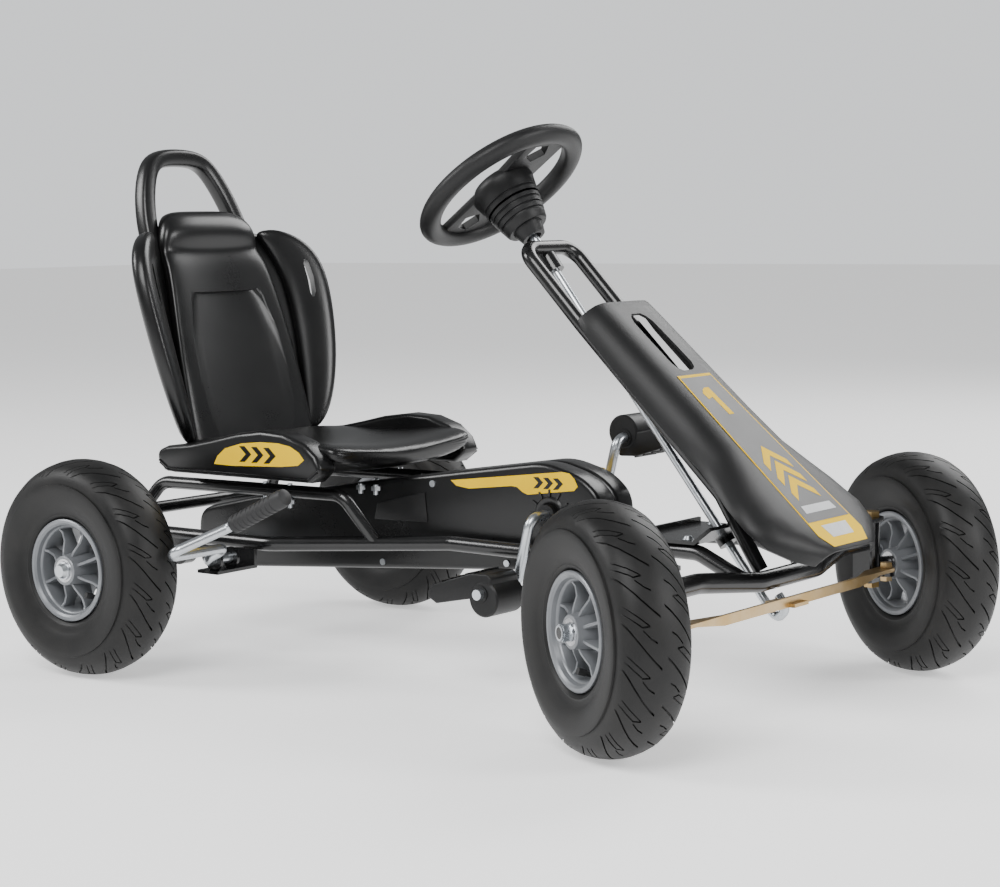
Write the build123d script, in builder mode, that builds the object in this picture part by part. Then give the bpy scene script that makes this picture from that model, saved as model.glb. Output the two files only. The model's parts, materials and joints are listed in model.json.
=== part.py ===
from build123d import *
import math
import os

# Pedal go kart with pneumatic tyres, a bent-tube frame and a moulded seat.
# Frame: millimetres, +X forward, +Y to the driver's left, +Z up.
# Origin: on the ground, under the middle of the rear axle.

# ---- driving dimensions -------------------------------------------------
wheel_radius = 130.0  # 3.00-4 tyre
tyre_width = 84.0
bead_radius = 57.0
rim_flange_radius = 61.0
rim_half_width = 34.0
rim_barrel_radius = 50.0
hub_radius = 19.0
hub_half_length = 37.0
spoke_count = 8
bearing_radius = 14.0
bearing_width = 8.0
running_gap = 0.05

wheelbase = 776.0
rear_track_half = 288.3
kingpin_half = 229.0
stub_reach = 60.3
steer_deg = 28.0  # the front wheels rest turned this far to the right

axle_radius = 8.0
stub_radius = 6.0
kingpin_radius = 5.0
arm_length = 30.0

rail_radius = 9.0
seat_rail_radius = 8.0
beam_radius = 11.0
tube_wall = 1.5
rail_y = 128.0

column_radius = 5.0
column_top = (412.0, 576.9)  # x, z on the steering axis, inside the wheel
column_foot = (779.0, 105.0)  # x, z on the steering axis, at the hook
crank_throw = 30.0

crank_x = 503.0
crank_z = 200.0
crank_radius = 6.0
crank_length = 82.8
crank_lean_deg = 15.0
pedal_y = 112.0

case_half_width = 35.0
case_wall = 2.5

chain_pitch = 12.7
ring_teeth = 24
sprocket_teeth = 12

brake_pivot = (112.0, 134.0)  # x, z of the hand brake's cross shaft
brake_radius = 6.0

os.makedirs("parts", exist_ok=True)


def save(piece, name):
    """Label a finished piece and write its STEP file."""
    piece.label = name
    export_step(piece, f"parts/{name}.step")


def bar(points, radius, bend, wall=None):
    """A round bar, or a tube with a wall, swept along straight runs with bends."""
    with BuildPart() as swept:
        with BuildLine() as path:
            if len(points) == 2:
                Line(*points)
            else:
                FilletPolyline(*points, radius=bend)
        with BuildSketch(Plane(path.line @ 0, z_dir=path.line % 0)):
            Circle(radius)
            if wall:
                Circle(radius - wall, mode=Mode.SUBTRACT)
        sweep()
    return swept.part


def mirrored(points):
    """The same points on the other side of the kart."""
    return [(x, -y, z) for x, y, z in points]


# ---- wheels ---------------------------------------------------------------
# A wheel is made about the Y axis at the origin, outer face towards -Y.


def tyre_blank():
    """Hollow tyre: round sidewalls, a nearly flat crown and two beads."""
    shoulder = (wheel_radius - 12, tyre_width / 2 - 6)
    belly = (92.0, tyre_width / 2)
    with BuildPart() as tyre:
        with BuildSketch(Plane.XY):
            with BuildLine():
                for side in (1, -1):
                    Polyline((bead_radius, side * 19), (bead_radius, side * 27), (rim_flange_radius, side * 28))
                    ThreePointArc(
                        (rim_flange_radius, side * 28),
                        (belly[0], side * belly[1]),
                        (shoulder[0], side * shoulder[1]),
                    )
                ThreePointArc((shoulder[0], shoulder[1]), (wheel_radius, 0), (shoulder[0], -shoulder[1]))
                for side in (1, -1):
                    ThreePointArc((bead_radius, side * 19), (92, side * 35.5), (112, side * 30))
                ThreePointArc((112, 30), (wheel_radius - 7, 0), (112, -30))
            make_face()
        revolve(axis=Axis.Y)
    return tyre.part


def rim_half(side):
    """One moulded half of a rim: flange, barrel, eight blade spokes and hub. side -1 is outer."""
    flange = side * rim_half_width
    with BuildPart() as rim:
        with BuildSketch(Plane.XY):
            with BuildLine():
                Polyline(
                    (rim_barrel_radius, 0),
                    (rim_barrel_radius, side * 30),
                    (rim_flange_radius - 4, flange),
                    (rim_flange_radius, flange),
                    (rim_flange_radius, side * 28.5),
                    (bead_radius - 0.3, side * 27.5),
                    (bead_radius - 0.3, side * 16),
                    (rim_barrel_radius + 3, side * 12),
                    (rim_barrel_radius + 3, 0),
                    close=True,
                )
            make_face()
        revolve(axis=Axis.Y)
        with BuildSketch(Plane.XZ):
            Circle(hub_radius)
        extrude(amount=-side * hub_half_length)
        with BuildSketch(Plane.XZ.offset(-side * 6)):
            with PolarLocations(0, spoke_count):
                with Locations((hub_radius + 15.5, 0)):
                    Rectangle(36, 3.5)
        extrude(amount=-side * 20)
        with BuildSketch(Plane.XZ):
            Circle(stub_radius + 3)
        extrude(amount=-side * hub_half_length, mode=Mode.SUBTRACT)
        with BuildSketch(Plane.XZ.offset(-side * (hub_half_length - bearing_width))):
            Circle(bearing_radius)
        extrude(amount=-side * bearing_width, mode=Mode.SUBTRACT)
    return rim.part


def bearing_pair(bore):
    """Two ball-bearing rings, seated in the two ends of a hub."""
    with BuildPart() as rings:
        for side in (1, -1):
            with BuildSketch(Plane.XZ.offset(-side * (hub_half_length - bearing_width))):
                Circle(bearing_radius)
                Circle(bore, mode=Mode.SUBTRACT)
            extrude(amount=-side * bearing_width)
    return rings.part


def valve():
    """Tyre valve: stem through the rim's outer half, with a black cap."""
    lean = 70.0
    out = Vector(0, -math.sin(math.radians(lean)), 0) + Vector(-math.cos(math.radians(lean)), 0, 0)
    foot = Vector(rim_barrel_radius - 3.1, -9, 0)
    with BuildPart() as stem:
        with BuildSketch(Plane(foot, z_dir=out)):
            Circle(2.6)
        extrude(amount=12)
        with BuildSketch(Plane(foot + out * 12, z_dir=out)):
            Circle(3.6)
        extrude(amount=9)
    return stem.part


def placed(piece, centre, turn_deg, flip=False, spin_deg=0.0):
    """Put a wheel piece at its hub centre, steered by turn_deg; flip faces it to the left side."""
    facing = 180.0 if flip else 0.0
    return Pos(*centre) * Rot(0, 0, turn_deg + facing) * Rot(0, spin_deg, 0) * piece


def stub_direction(side):
    """Unit vector from a kingpin towards its wheel; side -1 is the right wheel."""
    turn = math.radians(-steer_deg)
    return Vector(-side * math.sin(turn), side * math.cos(turn), 0)


wheel_centres = {
    "front_right": Vector(wheelbase, -kingpin_half, wheel_radius) + stub_direction(-1) * stub_reach,
    "front_left": Vector(wheelbase, kingpin_half, wheel_radius) + stub_direction(1) * stub_reach,
    "rear_right": Vector(0, -rear_track_half, wheel_radius),
    "rear_left": Vector(0, rear_track_half, wheel_radius),
}
valve_angle = {"front_right": 90.0, "front_left": 225.0, "rear_right": 45.0, "rear_left": 315.0}

for corner, centre in wheel_centres.items():
    turn = -steer_deg if corner.startswith("front") else 0.0
    flip = corner.endswith("left")
    bore = {"front_right": stub_radius, "front_left": stub_radius}.get(corner, axle_radius) + running_gap
    if corner == "rear_left":
        bore = axle_radius
    place = (tuple(centre), turn, flip)
    save(placed(tyre_blank(), *place), f"{corner}_tyre")
    save(placed(rim_half(-1), *place, 22.5), f"{corner}_rim_outer")
    save(placed(rim_half(1), *place, 22.5), f"{corner}_rim_inner")
    save(placed(bearing_pair(bore), *place), f"{corner}_bearings")
    save(placed(valve(), *place, valve_angle[corner]), f"{corner}_valve")

# ---- rear axle and chain drive ---------------------------------------------


def sprocket(teeth, bore, thickness=3.0):
    """A flat chain sprocket with round tooth gaps, about the Y axis at the origin."""
    pitch_radius = chain_pitch / (2 * math.sin(math.pi / teeth))
    with BuildPart() as wheel:
        with BuildSketch(Plane.XZ.offset(-thickness / 2)):
            Circle(pitch_radius + 3.6)
            with PolarLocations(pitch_radius, teeth):
                Circle(4.1, mode=Mode.SUBTRACT)
            Circle(bore, mode=Mode.SUBTRACT)
        extrude(amount=thickness)
        with BuildSketch(Plane.XZ.offset(-9)):
            Circle(bore + 5)
            Circle(bore, mode=Mode.SUBTRACT)
        extrude(amount=18)
    return wheel.part


with BuildPart() as rear_axle:
    with BuildSketch(Plane((0, -rear_track_half - 39, wheel_radius), z_dir=(0, 1, 0))):
        Circle(axle_radius)
    extrude(amount=2 * rear_track_half + 78)
    chamfer(rear_axle.edges().filter_by(GeomType.CIRCLE), 1)
save(rear_axle.part, "rear_axle")

with BuildPart() as rear_caps:
    for side in (1, -1):
        face = side * (rear_track_half + hub_half_length + 0.4)
        with BuildSketch(Plane((0, face, wheel_radius), z_dir=(0, side, 0))):
            Circle(11)
            Circle(axle_radius, mode=Mode.SUBTRACT)
        extrude(amount=2.2)
        with BuildSketch(Plane((0, face + side * 2.2, wheel_radius), z_dir=(0, side, 0))):
            Circle(9.5)
        extrude(amount=5, taper=25)
        with BuildSketch(Plane((0, face, wheel_radius), z_dir=(0, side, 0))):
            Circle(axle_radius)
        extrude(amount=2.2, mode=Mode.SUBTRACT)
save(rear_caps.part, "rear_axle_caps")

rear_sprocket = Pos(0, 0, wheel_radius) * Rot(0, 15, 0) * sprocket(sprocket_teeth, axle_radius)
save(rear_sprocket, "rear_sprocket")

# the crank: one bent bar with two arms and two pedal spindles
lean = math.radians(crank_lean_deg)
arm_x = crank_length * math.sin(lean)
arm_z = crank_length * math.cos(lean)
arm_y = 72.0
spindle_end = pedal_y + 35
crank_points = [
    (crank_x - arm_x, -spindle_end, crank_z - arm_z),
    (crank_x - arm_x, -arm_y, crank_z - arm_z),
    (crank_x, -arm_y, crank_z),
    (crank_x, arm_y, crank_z),
    (crank_x + arm_x, arm_y, crank_z + arm_z),
    (crank_x + arm_x, spindle_end, crank_z + arm_z),
]
with BuildPart() as crank_shaft:
    add(bar(crank_points, crank_radius, 13))
save(crank_shaft.part, "crank_shaft")

chainring = Pos(crank_x, 0, crank_z) * sprocket(ring_teeth, crank_radius)
save(chainring, "chainring")

with BuildPart() as crank_bushes:
    for side in (1, -1):
        with BuildSketch(Plane((crank_x, side * 26, crank_z), z_dir=(0, side, 0))):
            Circle(12)
            Circle(crank_radius + running_gap, mode=Mode.SUBTRACT)
        extrude(amount=18)
save(crank_bushes.part, "crank_bushes")

# roller chain: two runs of links with curved side plates around both sprockets
small_radius = chain_pitch / (2 * math.sin(math.pi / sprocket_teeth))
large_radius = chain_pitch / (2 * math.sin(math.pi / ring_teeth))
centre_distance = math.hypot(crank_x, crank_z - wheel_radius)
chain_slope = math.atan2(crank_z - wheel_radius, crank_x)
wrap = math.asin((large_radius - small_radius) / centre_distance)


def chain_loop(grow):
    """Closed line around both sprockets, grown outwards from the pitch line."""
    small = small_radius + grow
    large = large_radius + grow
    up = Vector(-math.sin(wrap), math.cos(wrap))
    down = Vector(-math.sin(wrap), -math.cos(wrap))
    with BuildSketch(Plane.XY) as loop:
        with BuildLine():
            Line(up * small, Vector(centre_distance, 0) + up * large)
            ThreePointArc(
                Vector(centre_distance, 0) + up * large,
                (centre_distance + large, 0),
                Vector(centre_distance, 0) + down * large,
            )
            Line(Vector(centre_distance, 0) + down * large, down * small)
            ThreePointArc(down * small, (-small, 0), up * small)
        make_face()
    return loop.sketch


with BuildPart() as chain:
    for low in (-4.0, 2.4):
        with BuildSketch(Plane.XY.offset(low)):
            add(chain_loop(4.0))
            add(chain_loop(-4.0), mode=Mode.SUBTRACT)
        extrude(amount=1.6)
    run = centre_distance * math.cos(wrap)
    rollers = int(run / chain_pitch) - 3
    for side in (1, -1):
        along = Vector(math.cos(wrap), side * math.sin(wrap))
        start = Vector(-math.sin(wrap), side * math.cos(wrap)) * small_radius
        centres = [start + along * chain_pitch * (i + 2) for i in range(rollers)]
        with BuildSketch(Plane.XY.offset(-4.0)):
            with Locations(*centres):
                Circle(3.6)
        extrude(amount=8.0)
chain_place = Pos(0, 0, wheel_radius) * Rot(0, -math.degrees(chain_slope), 0) * Rot(90, 0, 0)
save(chain_place * chain.part, "chain")

# ---- frame tubes -------------------------------------------------------------

right_rail_points = [
    (-108, -rail_y, 149.5),
    (150, -rail_y - 2, 150),
    (370, -56, 159),
    (520, -53, 157),
    (655, -56, 177),
    (722, -63, 177),
    (788, -75, 152.5),
]
seat_rail_points = [
    (-98, -rail_y, 149.5),
    (-56, -106, 211),
    (246, -104, 213),
    (284, -84.9, 155.5),
]
seat_bolt_x = (122.0, 163.0)
seat_bolt_y = 104.7
cross_x = -81.0
cross_z = 174.5
cross_half = 119.0


def envelope(points, radius, bend):
    """The full round of a tube, for coping another tube against it."""
    return bar(points, radius, bend)


rail_bend = 40.0
seat_rail_bend = 24.0
beam_bend = 60.0
beam_points = [
    (wheelbase, -206, 160),
    (wheelbase, -150, 160),
    (wheelbase + 20, -60, 151),
    (wheelbase + 20, 60, 151),
    (wheelbase, 150, 160),
    (wheelbase, 206, 160),
]

for side_name, flip in (("right", False), ("left", True)):
    rail = mirrored(right_rail_points) if flip else right_rail_points
    seat_rail = mirrored(seat_rail_points) if flip else seat_rail_points
    with BuildPart() as side_rail:
        add(bar(rail, rail_radius, rail_bend, tube_wall))
        add(envelope(beam_points, beam_radius, beam_bend), mode=Mode.SUBTRACT)
    save(side_rail.part, f"{side_name}_side_rail")
    with BuildPart() as seat_tube:
        add(bar(seat_rail, seat_rail_radius, seat_rail_bend, tube_wall))
        add(envelope(rail, rail_radius, rail_bend), mode=Mode.SUBTRACT)
        for bolt_x in seat_bolt_x:
            with BuildSketch(Plane.XY.offset(200)):
                with Locations((bolt_x, seat_bolt_y if flip else -seat_bolt_y)):
                    Circle(3)
            extrude(amount=40, mode=Mode.SUBTRACT)
    save(seat_tube.part, f"{side_name}_seat_rail")

with BuildPart() as rear_cross_tube:
    add(bar([(cross_x, -cross_half, cross_z), (cross_x, cross_half, cross_z)], seat_rail_radius, 0, tube_wall))
    add(envelope(seat_rail_points, seat_rail_radius, seat_rail_bend), mode=Mode.SUBTRACT)
    add(envelope(mirrored(seat_rail_points), seat_rail_radius, seat_rail_bend), mode=Mode.SUBTRACT)
    for extra in rear_cross_tube.solids().sort_by(SortBy.VOLUME)[:-1]:
        add(extra, mode=Mode.SUBTRACT)
save(rear_cross_tube.part, "rear_cross_tube")

# bearing blocks hang from the side rails and carry the rear axle
with BuildPart() as axle_blocks:
    for side in (1, -1):
        inner_face = (0, side * (rail_y - 9), wheel_radius)
        with BuildSketch(Plane(inner_face, x_dir=(-side, 0, 0), z_dir=(0, side, 0))):
            Circle(17)
            with Locations((0, 8)):
                Rectangle(30, 16)
        extrude(amount=18)
    for side in (1, -1):
        with BuildSketch(Plane((0, side * (rail_y - 9), wheel_radius), z_dir=(0, side, 0))):
            Circle(axle_radius + running_gap)
        extrude(amount=18, mode=Mode.SUBTRACT)
        rail = mirrored(right_rail_points) if side > 0 else right_rail_points
        add(envelope(rail, rail_radius, rail_bend), mode=Mode.SUBTRACT)
save(axle_blocks.part, "rear_axle_blocks")

# ---- front beam, steering fork and floor plate -----------------------------

yoke_web_y = 204.0
barrel_low = 118.0
barrel_high = 182.0
ear_thickness = 5.0

with BuildPart() as front_beam:
    add(bar(beam_points, beam_radius, beam_bend, tube_wall))
    for side in (1, -1):
        web_centre = (wheelbase, side * yoke_web_y, (barrel_low + barrel_high) / 2)
        with BuildSketch(Plane(web_centre, x_dir=(-side, 0, 0), z_dir=(0, side, 0))):
            Rectangle(22, 76)
        extrude(amount=5)
        for ear_z in (barrel_high + 0.4, barrel_low - 0.4 - ear_thickness):
            with BuildSketch(Plane.XY.offset(ear_z)):
                with Locations((wheelbase, side * (yoke_web_y + 12.5))):
                    Rectangle(28, 25)
                with Locations((wheelbase, side * kingpin_half)):
                    Circle(14)
                    Circle(kingpin_radius, mode=Mode.SUBTRACT)
            extrude(amount=ear_thickness)
save(front_beam.part, "front_beam")

axis_x, axis_z = column_foot[0] - column_top[0], column_foot[1] - column_top[1]
axis_length = math.hypot(axis_x, axis_z)
column_axis = Vector(axis_x / axis_length, 0, axis_z / axis_length)
crank_forward = Vector(-column_axis.Z, 0, column_axis.X)


def on_column(distance):
    """Point on the steering axis, measured down from the wheel centre."""
    return Vector(column_top[0], 0, column_top[1]) + column_axis * distance


head_distance = 96.0
head_length = 30.0
foot_distance = 506.0
foot_length = 20.0

fork_radius = 8.5
bush_radius = 11.0
fork_leg = [
    (786, -40, 160),
    (742, -48, 240),
    (560, -48, 419),
    (477, -48, 505),
]
fork_points = fork_leg + mirrored(fork_leg)[::-1]


def column_envelope(distance, length, radius):
    """A plain round about the steering axis, for cutting clearance."""
    with BuildPart() as round_bar:
        with BuildSketch(Plane(on_column(distance), z_dir=column_axis)):
            Circle(radius)
        extrude(amount=length)
    return round_bar.part


with BuildPart() as steering_fork:
    add(bar(fork_points, fork_radius, 22, tube_wall))
    add(column_envelope(0, 600, bush_radius), mode=Mode.SUBTRACT)
    add(envelope(beam_points, beam_radius, beam_bend), mode=Mode.SUBTRACT)
save(steering_fork.part, "steering_fork")

# floor plate across the two rails, its front edge turned up round the column
plate_z = 186.2
plate_half = 72.0
plate_thickness = 4.0
plate_bolt_x = (664.0, 706.0)
plate_bolt_y = 59.0
with BuildPart() as floor_plate:
    with BuildSketch(Plane.XZ.offset(-plate_half)):
        with BuildLine():
            Polyline(
                (636, plate_z),
                (722, plate_z),
                (744, plate_z + 17),
                (741, plate_z + 20),
                (720, plate_z + 4),
                (640, plate_z + 4),
                (640, plate_z + 9),
                (636, plate_z + 9),
                close=True,
            )
        make_face()
    extrude(amount=2 * plate_half)
    with BuildSketch(Plane.XY.offset(plate_z - 5)):
        for side in (1, -1):
            with Locations(*[(bolt_x, side * plate_bolt_y) for bolt_x in plate_bolt_x]):
                Circle(3.1)
    extrude(amount=40, mode=Mode.SUBTRACT)
    add(column_envelope(foot_distance - 30, 80, bush_radius), mode=Mode.SUBTRACT)
save(floor_plate.part, "floor_plate")

with BuildPart() as steering_bushes:
    for distance, length in ((head_distance, head_length), (foot_distance - 22, foot_length)):
        with BuildSketch(Plane(on_column(distance), z_dir=column_axis)):
            Circle(bush_radius)
            Circle(column_radius + running_gap, mode=Mode.SUBTRACT)
        extrude(amount=length)
save(steering_bushes.part, "steering_bushes")

with BuildPart() as floor_bolts:
    for side in (1, -1):
        for bolt_x in plate_bolt_x:
            with BuildSketch(Plane.XY.offset(plate_z + plate_thickness)):
                with Locations((bolt_x, side * plate_bolt_y)):
                    Circle(6.5)
            extrude(amount=3.6, taper=35)
            with BuildSketch(Plane.XY.offset(plate_z)):
                with Locations((bolt_x, side * plate_bolt_y)):
                    Circle(3.0)
            extrude(amount=plate_thickness)
save(floor_bolts.part, "floor_plate_bolts")

# ---- steering column and wheel ----------------------------------------------

hook_turn = math.radians(steer_deg)
across = column_axis.cross(crank_forward)
hook_arm = crank_forward * math.cos(hook_turn) + across * math.sin(hook_turn)
foot_point = on_column(axis_length)
hook_point = foot_point + hook_arm * crank_throw

with BuildPart() as steering_column:
    add(
        bar(
            [
                tuple(on_column(30)),
                tuple(foot_point + column_axis * 6),
                tuple(hook_point + column_axis * 6),
                tuple(hook_point - column_axis * 12),
            ],
            column_radius,
            11,
        )
    )
save(steering_column.part, "steering_column")

wheel_major = 95.3
grip_radius = 13.0
wheel_plane = Plane(on_column(0), x_dir=(0, 1, 0), z_dir=column_axis)

with BuildPart() as steering_wheel:
    with BuildSketch(Plane(on_column(0), x_dir=column_axis, z_dir=(0, 1, 0))):
        with Locations((0, wheel_major)):
            Ellipse(11.5, grip_radius)
    revolve(axis=Axis(on_column(0), column_axis))
    with BuildSketch(wheel_plane.offset(-7)):
        Circle(30)
        for side in (1, -1):
            with BuildLine():
                Polyline(
                    (side * 20, 24),
                    (side * 90, 34),
                    (side * 96, 0),
                    (side * 90, -30),
                    (side * 20, -20),
                    close=True,
                )
            make_face()
            with Locations((side * 66, 2)):
                SlotOverall(30, 17, mode=Mode.SUBTRACT)
    extrude(amount=10)
    with BuildSketch(wheel_plane.offset(3)):
        Circle(38)
    with BuildSketch(wheel_plane.offset(62)):
        Circle(24)
    loft()
    with BuildSketch(wheel_plane.offset(29.9)):
        Circle(column_radius)
    extrude(amount=40, mode=Mode.SUBTRACT)
save(steering_wheel.part, "steering_wheel")

with BuildPart() as hub_collar:
    with BuildSketch(wheel_plane.offset(62)):
        Circle(19)
        Circle(column_radius, mode=Mode.SUBTRACT)
    extrude(amount=14, taper=18)
save(hub_collar.part, "steering_hub_collar")

# ---- knuckles, kingpins and tie rod -----------------------------------------

arm_z_low = 121.5
arm_thickness = 5.0
turned = math.radians(-steer_deg)
arm_reach = Vector(math.cos(turned), math.sin(turned), 0) * arm_length

for side_name, side in (("right", -1), ("left", 1)):
    pin = Vector(wheelbase, side * kingpin_half, 0)
    out = stub_direction(side)
    with BuildPart() as knuckle:
        with BuildSketch(Plane.XY.offset(barrel_low)):
            with Locations((pin.X, pin.Y)):
                Circle(10)
        extrude(amount=barrel_high - barrel_low)
        with BuildSketch(Plane(pin + Vector(0, 0, wheel_radius) + out * 5, z_dir=out)):
            Circle(9)
        extrude(amount=stub_reach - hub_half_length - 6)
        with BuildSketch(Plane(pin + Vector(0, 0, wheel_radius), z_dir=out)):
            Circle(stub_radius)
        extrude(amount=stub_reach + hub_half_length + 12)
        with BuildSketch(Plane.XY.offset(arm_z_low)):
            with Locations((pin.X, pin.Y)):
                Circle(13)
            with BuildLine():
                tip = pin + arm_reach
                side_step = Vector(-arm_reach.Y, arm_reach.X, 0).normalized()
                Polyline(
                    tuple(pin + side_step * 12)[:2],
                    tuple(tip + side_step * 10)[:2],
                    tuple(tip - side_step * 10)[:2],
                    tuple(pin - side_step * 12)[:2],
                    close=True,
                )
            make_face()
            with Locations((tip.X, tip.Y)):
                Circle(10)
        extrude(amount=arm_thickness)
        with BuildSketch(Plane.XY.offset(barrel_low)):
            with Locations((pin.X, pin.Y)):
                Circle(kingpin_radius + running_gap)
        extrude(amount=barrel_high - barrel_low, mode=Mode.SUBTRACT)
        with BuildSketch(Plane.XY.offset(arm_z_low)):
            with Locations((tip.X, tip.Y)):
                Circle(4)
        extrude(amount=arm_thickness, mode=Mode.SUBTRACT)
    save(knuckle.part, f"{side_name}_knuckle")

    with BuildPart() as stub_nut:
        face = pin + Vector(0, 0, wheel_radius) + out * (stub_reach + hub_half_length + 0.4)
        with BuildSketch(Plane(face, z_dir=out)):
            Circle(9.5)
            Circle(stub_radius, mode=Mode.SUBTRACT)
        extrude(amount=1.6)
        with BuildSketch(Plane(face + out * 1.6, z_dir=out)):
            RegularPolygon(9.5, 6)
            Circle(stub_radius, mode=Mode.SUBTRACT)
        extrude(amount=8)
        with BuildSketch(Plane(face + out * 9.6, z_dir=out)):
            Circle(8)
            Circle(stub_radius, mode=Mode.SUBTRACT)
        extrude(amount=2.0)
    save(stub_nut.part, f"{side_name}_stub_nut")

with BuildPart() as kingpins:
    for side in (1, -1):
        low = barrel_low - 0.4 - ear_thickness
        high = barrel_high + 0.4 + ear_thickness
        with BuildSketch(Plane.XY.offset(low - 9)):
            with Locations((wheelbase, side * kingpin_half)):
                Circle(kingpin_radius)
        extrude(amount=high - low + 9)
        for face, height in ((high, 6.4), (low - 8, 8)):
            with BuildSketch(Plane.XY.offset(face)):
                with Locations((wheelbase, side * kingpin_half)):
                    RegularPolygon(9.8, 6)
            extrude(amount=height)
save(kingpins.part, "kingpins")

tie_x = wheelbase + arm_reach.X
tie_shift = arm_reach.Y
tie_low = arm_z_low + arm_thickness + 0.4
strip = 4.0
strip_height = 11.0
edge_x = tie_x + 10.0
edge_z = arm_z_low - 0.5 + strip_height / 2
with BuildPart() as tie_rod:
    for side in (1, -1):
        end_y = side * kingpin_half + tie_shift
        flat_end = end_y - side * 34
        edge_start = end_y - side * 84
        with BuildSketch(Plane.XY.offset(tie_low)):
            with Locations((tie_x, end_y - side * 17)):
                Rectangle(20, 34)
            with Locations((tie_x, end_y)):
                Circle(10)
                Circle(4.05 if side < 0 else 4.4, mode=Mode.SUBTRACT)
        extrude(amount=strip)
        with BuildSketch(Plane((tie_x, flat_end, tie_low + strip / 2), x_dir=(1, 0, 0), z_dir=(0, -side, 0))):
            Rectangle(20, strip)
        with BuildSketch(Plane((edge_x, edge_start, edge_z), x_dir=(1, 0, 0), z_dir=(0, -side, 0))):
            Rectangle(strip, strip_height)
        loft()
    middle = kingpin_half - 84
    with BuildSketch(Plane((edge_x, tie_shift - middle, edge_z), x_dir=(1, 0, 0), z_dir=(0, 1, 0))):
        Rectangle(strip, strip_height)
    extrude(amount=2 * middle)
    with BuildSketch(Plane.XY.offset(edge_z - strip_height / 2)):
        with Locations(((hook_point.X + edge_x) / 2 - 3, tie_shift)):
            Rectangle(edge_x - hook_point.X + 24, 30)
        with Locations((hook_point.X - 0.9, tie_shift)):
            SlotOverall(19, 11.4, mode=Mode.SUBTRACT)
    extrude(amount=4)
save(tie_rod.part, "tie_rod")

for side_name, side in (("right", -1), ("left", 1)):
    bolt_y = side * kingpin_half + tie_shift
    with BuildPart() as tie_bolt:
        with BuildSketch(Plane.XY.offset(arm_z_low - 6)):
            with Locations((tie_x, bolt_y)):
                Circle(4)
        extrude(amount=tie_low + strip + 6.5 - arm_z_low + 6)
        for face, height in ((arm_z_low - 5.6, 5.6), (tie_low + strip + 0.4, 6)):
            with BuildSketch(Plane.XY.offset(face)):
                with Locations((tie_x, bolt_y)):
                    RegularPolygon(7.5, 6)
            extrude(amount=height)
    save(tie_bolt.part, f"{side_name}_tie_bolt")

# ---- chain case ---------------------------------------------------------------

case_outline = [
    (-66, 92),
    (470, 132),
    (545, 140),
    (574, 168),
    (574, 222),
    (546, 246),
    (493, 260),
    (345, 239),
    (40, 192),
    (-52, 172),
    (-66, 158),
]
for side_name, side in (("right", -1), ("left", 1)):
    with BuildPart() as case_half:
        with BuildSketch(Plane.XZ):
            with BuildLine():
                FilletPolyline(*case_outline, radius=12, close=True)
            make_face()
        extrude(amount=-side * case_half_width)
        fillet(case_half.faces().sort_by(Axis.Y)[-1 if side > 0 else 0].edges(), 6)
        with BuildSketch(Plane.XZ):
            with BuildLine():
                FilletPolyline(*case_outline, radius=12, close=True)
            make_face()
            offset(amount=-case_wall)
        extrude(amount=-side * (case_half_width - case_wall), mode=Mode.SUBTRACT)
        for hole_x, hole_z, hole_radius in ((0, wheel_radius, 14), (crank_x, crank_z, 12)):
            with BuildSketch(Plane((hole_x, 0, hole_z), z_dir=(0, side, 0))):
                Circle(hole_radius)
            extrude(amount=case_half_width, mode=Mode.SUBTRACT)
    save(case_half.part, f"chain_case_{side_name}")

with BuildPart() as case_screws:
    for screw_x, screw_z in ((20, 106), (250, 124), (440, 138), (330, 225)):
        with BuildSketch(Plane((screw_x, -case_half_width, screw_z), z_dir=(0, -1, 0))):
            Circle(4)
        extrude(amount=1.6)
save(case_screws.part, "chain_case_screws")

# ---- front fairing --------------------------------------------------------------
# ridge x, ridge z, half width and depth of the side walls, from the top edge down
fairing_sections = [
    (584, 445, 72, 26),
    (660, 378, 74, 33),
    (715, 330, 76, 36),
    (770, 283, 82, 32),
    (804, 253, 110, 24),
    (832, 229, 122, 20),
    (856, 207, 110, 22),
    (876, 190, 60, 22),
]
fairing_wall = 3.0
fairing_down = Vector(0.762, 0, -0.647)
fairing_up = Vector(0.647, 0, 0.762)


def fairing_shape(inset):
    """Solid of the fairing's outer form, set in by a wall thickness."""
    with BuildPart() as shape:
        for x, z, half, depth in fairing_sections:
            ridge = Vector(x, 0, z) - fairing_up * inset
            wide = half - inset
            with BuildSketch(Plane(ridge, x_dir=(0, 1, 0), z_dir=fairing_down)):
                with BuildLine():
                    Polyline(
                        (-wide, inset - depth - 2 * inset),
                        (-wide * 0.84, -depth * 0.4),
                        (-wide * 0.5, 0),
                        (wide * 0.5, 0),
                        (wide * 0.84, -depth * 0.4),
                        (wide, -depth - inset),
                        close=True,
                    )
                make_face()
        loft(ruled=True)
    return shape.part


with BuildPart() as fairing:
    add(fairing_shape(0))
    add(fairing_shape(fairing_wall), mode=Mode.SUBTRACT)
    add(envelope(fork_points, fork_radius + 1, 22), mode=Mode.SUBTRACT)
save(fairing.part, "fairing")

# ---- seat -------------------------------------------------------------------------

back_foot = Vector(18, 0, 252)
back_lean = math.radians(17)
back_up = Vector(-math.sin(back_lean), 0, math.cos(back_lean))
back_front = Vector(math.cos(back_lean), 0, math.sin(back_lean))
back_thickness = 30.0
seat_bottom = 222.0

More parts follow.
